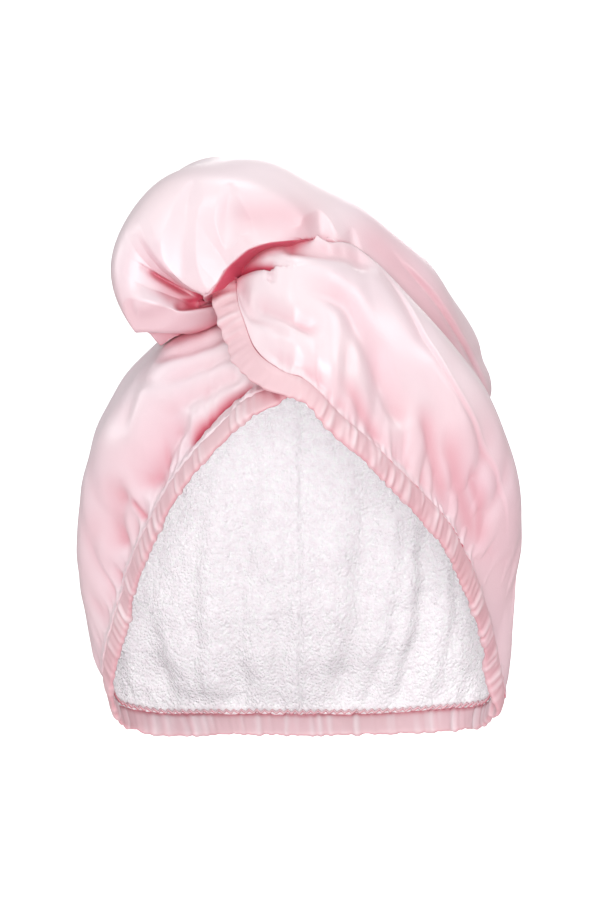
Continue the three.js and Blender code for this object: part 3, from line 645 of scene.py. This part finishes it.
# Long folds wound round the tail behind the mouth, in degrees round it: start, turn for each section, width.
tail_winds = {
    "start": (15, 62, 110, 150, 205, 248, 300, 335),
    "winds": (15, 19, 13, 17, 14, 20, 16, 18),
    "wide": (5, 8, 4, 7, 5, 8, 6, 4),
    "deep": (3.0, 4.0, 2.2, 3.6, 2.4, 4.0, 3.2, 2.0),
}


def tail_ring(place, around):
    value = {k: through(tail_sections, k, place, "along") for k in tail_sections if k != "along"}
    arc, facing, lean = (np.radians(value[k]) for k in ("arc", "facing", "lean"))
    out = value["stand"] * crown_rise
    across = value["width"] * tail_width / 2 * np.cos(around)
    up = value["height"] * tail_height / 2 * np.sin(around)
    outward = across * np.sin(lean) + up * np.cos(lean)
    x = value["aside"] * half_width + across * np.cos(lean) - up * np.sin(lean)
    y = out * np.sin(arc) + outward * np.sin(facing)
    z = out * np.cos(arc) - crown_drop + outward * np.cos(facing)
    return np.stack([x, y, z], axis=-1)


def under_panel(turn):
    """The crossing panel's upper edge over a turn, and how high its cloth is there."""
    place = np.interp(np.degrees(turn), wrap_edges["high_turn"], wrap_edges["along"])
    _, low_tip, _, high_tip, value = wrap_column(place)
    return low_tip, high_tip, value


def laid_on_cap(points, around):
    """Keeps the tail outside the cap, and under the upper edge of the crossing panel past the forehead."""
    turn, tip, radius = direction_of(points)
    cap = cap_radius(turn, tip)
    low_tip, high_tip, value = under_panel(turn)
    outside = np.maximum(turn - math.radians(panel_end), 0)
    tuck = np.radians(-3 + 9 * smooth((60 - np.degrees(turn)) / 30))
    edge = {k: through(tail_edge, k, np.degrees(turn)) for k in tail_edge if k != "turn"}
    raised = smooth((radius - cap - 8) / 18)
    free = np.radians(edge["low"] + (edge["lip"] - edge["low"]) * raised)
    panel = smooth((np.degrees(turn) - 6) / 10)
    limit = free + (high_tip + tuck + 3 * outside - free) * panel
    tip = np.minimum(tip, limit)
    cap = cap_radius(turn, tip)
    lip = np.radians(edge["lip"]) * (1 - panel) + high_tip * panel
    beyond = np.maximum(lip - tip, 0) + outside
    share = np.clip((low_tip - tip) / (low_tip - high_tip), 0, 1)
    full = 9 * np.sqrt(np.clip(beyond / math.radians(7), 0, 1))
    free_cover = edge["lift"] + full
    fading = 1 - smooth((np.degrees(turn) - 10) / 35)
    panel_cover = wrap_height(value, share) - wrap_wall - 2 + full * fading
    cover = free_cover + (panel_cover - free_cover) * panel + crown_rise * 1.2 * beyond
    radius = np.minimum(radius, cap + cover)
    body = 6 * np.sqrt(np.maximum(np.sin(around), 0))
    radius = np.maximum(radius, cap + tail_gap + body)
    return point_at(turn, tip, radius)


def seen_at(across, down, lift):
    """The points that a front view of 2 pixels to the mm shows at a place, so high over the cap's cloth."""
    x, z = (np.array(across) - 300) / 2, (300 - np.array(down)) / 2
    near, far = np.full(x.shape, -220.0), np.full(x.shape, 0.0)
    for _ in range(40):
        y = (near + far) / 2
        spread = (camera_distance + y) / camera_distance
        spot = np.stack([x * spread, y, (z - camera_height) * spread + camera_height], axis=-1)
        turn, tip, radius = direction_of(spot)
        outside = radius > cap_radius(turn, tip) + lift
        near, far = np.where(outside, y, near), np.where(outside, far, y)
    return spot


tail_rings, tail_sides = 240, 400
tail_last = tail_sections["along"][-1]
place = tail_last * np.linspace(0, 1, tail_rings)[:, None] ** 1.35
around = np.linspace(0, -2 * np.pi, tail_sides, endpoint=False)[None, :]
mouth_turn = np.degrees(around[0])
mouth_rows = [np.interp(mouth_turn, tail_mouth["around"], tail_mouth[k]) for k in ("across", "down", "lift")]
mouth_line = seen_at(*mouth_rows)
bare = tail_ring(place, around)
near_mouth = (1 - smooth(place / 2.6))[..., None]
bare = laid_on_cap(bare + near_mouth * (mouth_line[None] - bare[:1]), around)
step_on = np.roll(bare, -1, axis=1) - np.roll(bare, 1, axis=1)
step_back = np.gradient(bare, axis=0)
normal = np.cross(step_on, step_back)
normal /= np.maximum(np.linalg.norm(normal, axis=-1, keepdims=True), 1e-9)
height, fold_shade = fold_shape(on_front(bare), tail_folds)
seen = smooth((-normal[..., 1] + 0.1) / 0.3)
height = height * seen * smooth(place * 6) + ripples(bare, 31, 60, 1.2) * smooth(place / 2)
wound = smooth((place - 4.6) / 2.4) * smooth((tail_last - place) / 0.8)
for start, winds, wide, deep in zip(*tail_winds.values()):
    off = (np.degrees(around) - start - winds * place + 180) % 360 - 180
    height = height - deep * wound * np.exp(-((off / wide) ** 2))
turn, tip, radius = direction_of(bare + normal * height[..., None])
grid = point_at(turn, tip, np.maximum(radius, cap_radius(turn, tip) + 0.8))
mouth_rings = 8
mouth_depth = np.linspace(1, 0, mouth_rings + 1)[:-1, None, None]
mouth_end = grid[:1].mean(axis=1, keepdims=True) + np.array([4.0, 16.0, 4.0])
mouth = grid[:1] + (mouth_end - grid[:1]) * mouth_depth * 0.8
grid = np.concatenate([mouth, grid])
# Painted shade: full in the inner rings of the mouth, the dark pink of the pit, and in the tail's fold
# valleys.
tail_valley_shade = 0.36 * valley_shade(height, 12, 12) * smooth(place / 2)
tint = np.concatenate([np.ones((mouth_rings, tail_sides)), np.maximum(fold_shade * seen, tail_valley_shade)])
tail_cloth = cloth("twisted_tail_cloth", grid, tint, closed=True, ends=(True, True))
tail_cloth.data.materials.append(blush_satin)
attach(tail_cloth, "root")
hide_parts("tail_upper", "tail_lower", "tail_end")

# Elastic hem. A tube of the same satin, drawn up by the elastic inside it, closes the edge all round the
# opening. It starts under the crossing, goes round the nape and runs up the crossing panel into the twist.
hem_width = 13
hem_thickness = 4.2
hem_start = -9
hem_turn = np.radians(np.linspace(hem_start, panel_end - 360, 700))
wrapped = np.mod(hem_turn + np.pi, 2 * np.pi) - np.pi
edge_tip, edge_radius = stitch_at(wrapped)
round_nape = point_at(hem_turn, edge_tip, edge_radius - 1.85)
nape_place = np.interp(wrapped, np.linspace(-np.pi, np.pi, cap_columns, endpoint=False), rim_place)
under = np.linspace(26, 1, 14)
under_crossing = round_nape[0] + under[:, None] * np.array([0.76, 0.1, 0.62])
under_crossing[:, 1] -= 3.5 * smooth(under / 14)
under_place = nape_place[0] + under
panel_at = np.linspace(panel_last - 0.1, 0, 300)
low_turn, low_tip, _, _, value = wrap_column(panel_at)
on_panel = point_at(low_turn, low_tip, cap_radius(low_turn, low_tip) + value["low_lift"] - 0.75)
panel_place = np.interp(panel_at, np.linspace(0, panel_last, wrap_columns), wrap_along)
into_pit = on_panel[-1] + np.linspace(0, 1, 12)[1:, None] * np.array([2.0, 9.0, 8.0])
line = np.concatenate([under_crossing, round_nape, on_panel, into_pit])
no_gathers = -900.0
past_cap = np.full(len(on_panel) + len(into_pit), no_gathers)
before_panel = np.full(len(under) + len(hem_turn), no_gathers)
past_panel = np.full(len(into_pit), panel_place[-1])
on_cap = np.concatenate([under_place, nape_place, past_cap])
on_wrap = np.concatenate([before_panel, panel_place, past_panel])
length = np.concatenate([[0], np.cumsum(np.linalg.norm(np.diff(line, axis=0), axis=1))])
hem_steps = int(length[-1] / 0.75)
even = np.linspace(0, length[-1], hem_steps)
line = np.stack([np.interp(even, length, line[:, k]) for k in range(3)], axis=-1)
on_cap = np.interp(even, length, on_cap)
on_wrap = np.interp(even, length, on_wrap)
for _ in range(12):
    line[1:-1] = (line[:-2] + 2 * line[1:-1] + line[2:]) / 4
turn, tip, radius = direction_of(line)
step = math.radians(2)
here = point_at(turn, tip, cap_radius(turn, tip))
beside = point_at(turn + step, tip, cap_radius(turn + step, tip)) - here
above = point_at(turn, tip - step, cap_radius(turn, tip - step)) - here
normal = np.cross(beside, above)
normal /= np.linalg.norm(normal, axis=-1, keepdims=True)
run = np.gradient(line, axis=0)
run /= np.linalg.norm(run, axis=-1, keepdims=True)
down = np.cross(normal, run)
down /= np.linalg.norm(down, axis=-1, keepdims=True)
out = np.cross(run, down)
hem_sides = 28
around = np.linspace(0, 2 * np.pi, hem_sides, endpoint=False)[None, :]
across = np.sign(np.cos(around)) * np.abs(np.cos(around)) ** 0.7
through_it = np.sign(np.sin(around)) * np.abs(np.sin(around)) ** 0.65
width_at = (across + 1) / 2
slant = 1.5 * width_at
at_stitches = np.zeros((hem_steps, hem_sides))
crimp = gathers(on_cap[:, None] + slant, at_stitches, **cap_gathers)
crimp += gathers(on_wrap[:, None] - slant, at_stitches, **panel_gathers)
crimp += gathers(even[:, None] - slant, at_stitches, 42, 6.0, 10, 1.6, length[-1])
crimp += gathers(even[:, None] + 2 * slant, at_stitches, 43, 17.0, 10, 1.8, length[-1])
drawn = 1 - 0.35 * np.exp(-(((width_at - 0.08) / 0.1) ** 2))
thick = (0.5 + 0.75 * hem_thickness * np.exp(crimp / 2.2)) * drawn
half = hem_width / 2 + np.where(across > 0, crimp * 0.6 + 0.8, 0.4)
middle = line + down * (hem_width / 2 + 0.2)
sideways = down[:, None] * (half * across)[..., None]
outwards = out[:, None] * (thick * through_it)[..., None]
grid = middle[:, None] + sideways + outwards
# Painted shade in the valleys of the crimps, over a faint even pink.
tint = np.clip(-crimp - 0.8, 0, 1.5) * 0.2 + 0.03
hem_cloth = cloth("elastic_hem_casing", grid, tint, closed=True, ends=(True, True))
# Lit colour, then the half-shaded and deep pinks that the material paints as shade.
casing_satin = satin_material("casing_satin", (230, 211, 215), (221, 185, 191), (202, 112, 126), 0.44)
hem_cloth.data.materials.append(casing_satin)
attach(hem_cloth, "root")
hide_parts("elastic_hem")

# Overlocked seam. Pink sewing thread, run in a zigzag round the inside of the opening. It sews the edge of
# the lining to the casing and keeps both from fraying.
thread_size = 1.3
zigzag_length = 4.2
thread_turn = np.linspace(hem_turn[0], hem_turn[-1], 2600)
edge_tip, edge_radius = stitch_at(np.mod(thread_turn + np.pi, 2 * np.pi) - np.pi)
seam = point_at(thread_turn, edge_tip, edge_radius)
seam_place = np.concatenate([[0], np.cumsum(np.linalg.norm(np.diff(seam, axis=0), axis=1))])
swing = 2 * np.abs((seam_place / zigzag_length) % 1 - 0.5) - 0.5
thread_tip = edge_tip + (0.6 + 2.2 * swing) / edge_radius
line = point_at(thread_turn, thread_tip, edge_radius - 4.3)
around = np.linspace(0, 2 * np.pi, 8, endpoint=False)[None, :]
run = np.gradient(line, axis=0)
run /= np.linalg.norm(run, axis=-1, keepdims=True)
side = np.cross(run, line - np.array([0, 0, -crown_drop]))
side /= np.linalg.norm(side, axis=-1, keepdims=True)
up = np.cross(side, run)
ring = side[:, None] * np.cos(around)[..., None] + up[:, None] * np.sin(around)[..., None]
grid = line[:, None] + thread_size / 2 * ring
thread = cloth("overlocked_seam", grid, np.full(grid.shape[:2], 0.3), closed=True, ends=(True, True))
thread.data.materials.append(casing_satin)
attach(thread, "root")

# Closure button. A plain button covered in the casing's satin, at the end of the tail near the nape, which
# it holds down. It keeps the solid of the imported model.
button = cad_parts["closure_button"]
button.data.materials.clear()
button.data.materials.append(casing_satin)

# Studio. The towel is held up over a pale floor, with a white card far behind it and broad, soft, round
# lights on all its sides.
floor_level = cad_box[0].z - 0.7
card_distance = 4.4


def studio_sheet(name, corners, base, glow):
    mesh = bpy.data.meshes.new(name)
    mesh.from_pydata(corners, [], [(0, 1, 2, 3)])
    backing = bpy.data.objects.new(name, mesh)
    bpy.context.collection.objects.link(backing)
    paper = bpy.data.materials.new(name)
    paper.use_nodes = True
    shader = paper.node_tree.nodes["Principled BSDF"]
    shader.inputs["Base Color"].default_value = (base, base, base, 1)
    shader.inputs["Roughness"].default_value = 0.9
    shader.inputs["Emission Color"].default_value = (1, 1, 1, 1)
    shader.inputs["Emission Strength"].default_value = glow
    mesh.materials.append(paper)


floor_corners = [(x, y, floor_level) for x, y in ((-4, -4), (4, -4), (4, 5), (-4, 5))]
studio_sheet("studio_floor", floor_corners, 0.8, 0.0)
card_corners = [(x, card_distance, z) for x, z in ((-0.9, -0.92), (0.9, -0.92), (0.9, 1.2), (-0.9, 1.2))]
studio_sheet("studio_card", card_corners, 0.9, 1.0)

softboxes = {
    "key": ((-0.9, -1.8, 1.0), 0.8, 12),
    "front": ((0.1, -2.2, -0.3), 0.9, 31),
    "left": ((-1.7, 0.1, 0.3), 1.0, 9),
    "right": ((1.6, -0.4, 0.7), 1.0, 13),
    "top": ((0.0, 0.0, 1.8), 0.9, 12),
    "back": ((0.3, 1.9, 0.9), 1.0, 16),
}
for name, (place, size, power) in softboxes.items():
    light = bpy.data.lights.new(name, "AREA")
    light.shape = "DISK"
    light.size = size
    light.energy = power
    lamp = bpy.data.objects.new(name, light)
    lamp.location = place
    aim = np.array([0, 0, -0.08]) - np.array(place)
    lamp.rotation_euler = (math.atan2(math.hypot(aim[0], aim[1]), -aim[2]), 0, math.atan2(-aim[0], aim[1]))
    bpy.context.collection.objects.link(lamp)
world = bpy.data.worlds.new("studio")
world.use_nodes = True
world.node_tree.nodes["Background"].inputs["Color"].default_value = (1, 1, 1, 1)
world.node_tree.nodes["Background"].inputs["Strength"].default_value = 0.26
bpy.context.scene.world = world
bpy.context.scene.view_settings.view_transform = "Standard"
